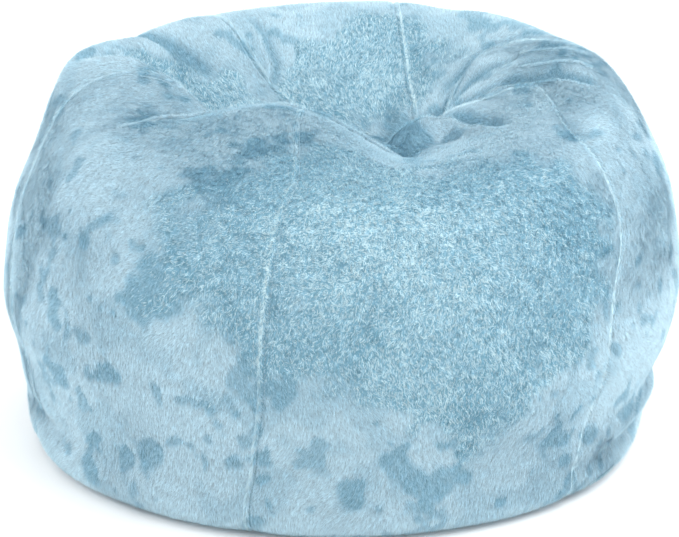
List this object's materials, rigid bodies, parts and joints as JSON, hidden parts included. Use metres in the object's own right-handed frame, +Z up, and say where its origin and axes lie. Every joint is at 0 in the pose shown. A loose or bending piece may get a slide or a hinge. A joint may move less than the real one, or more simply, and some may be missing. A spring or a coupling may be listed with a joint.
{
  "type": "bean bag chair",
  "caption": "Low round bean bag chair: a gored plush cover with a dented seat over a zipped inner liner full of beads.",
  "frame": {"origin": "middle of the flat underside, on the floor", "axes": "+Z up, -Y the front, towards which the seat is lower, +X to the sitter's left as they face -Y"},
  "size_m": [0.9634, 0.9592, 0.5463],
  "materials": {
    "plush": "short crushed pile",
    "thread": "satin sewing thread",
    "label_cloth": "smooth woven ribbon",
    "zip_tape": "woven tape",
    "zip_coil": "moulded coil",
    "zip_metal": "enamelled",
    "liner_cloth": "plain woven",
    "beads": "expanded foam beads"
  },
  "bodies": {
    "bag": {"cover_panel_front": "plush", "cover_panel_right": "plush", "cover_panel_back_right": "plush", "cover_panel_back_left": "plush", "cover_panel_left": "plush", "cover_panel_front_left": "plush", "cover_top_cap": "plush", "cover_base_front": "plush", "cover_base_rear": "plush", "cover_topstitch_1": "thread", "cover_topstitch_2": "thread", "cover_topstitch_3": "thread", "cover_topstitch_4": "thread", "cover_topstitch_5": "thread", "cover_topstitch_6": "thread", "care_label": "label_cloth", "cover_zip_tape_front": "zip_tape", "cover_zip_coil_front": "zip_coil", "cover_zip_tape_rear": "zip_tape", "cover_zip_coil_rear": "zip_coil", "cover_zip_bottom_stop": "zip_metal", "cover_zip_top_stops": "zip_metal", "liner_zip_tape_front": "zip_tape", "liner_zip_coil_front": "zip_coil", "liner_zip_tape_rear": "zip_tape", "liner_zip_coil_rear": "zip_coil", "liner_zip_bottom_stop": "zip_metal", "liner_zip_top_stops": "zip_metal", "liner_panel_1": "liner_cloth", "liner_panel_2": "liner_cloth", "liner_panel_3": "liner_cloth", "liner_top_cap": "liner_cloth", "liner_base_front": "liner_cloth", "liner_base_rear": "liner_cloth", "bead_fill": "beads"},
    "cover_slider": {"cover_zip_slider": "zip_metal", "cover_zip_slider_crown": "zip_metal"},
    "liner_slider": {"liner_zip_slider": "zip_metal", "liner_zip_slider_crown": "zip_metal"}
  },
  "joints": [
    {"name": "cover_zip_run", "type": "slide", "parent": "bag", "child": "cover_slider", "axis": [1, 0, 0], "range_m": [0, 0.565]},
    {"name": "liner_zip_run", "type": "slide", "parent": "bag", "child": "liner_slider", "axis": [1, 0, 0], "range_m": [0, 0.305]}
  ]
}
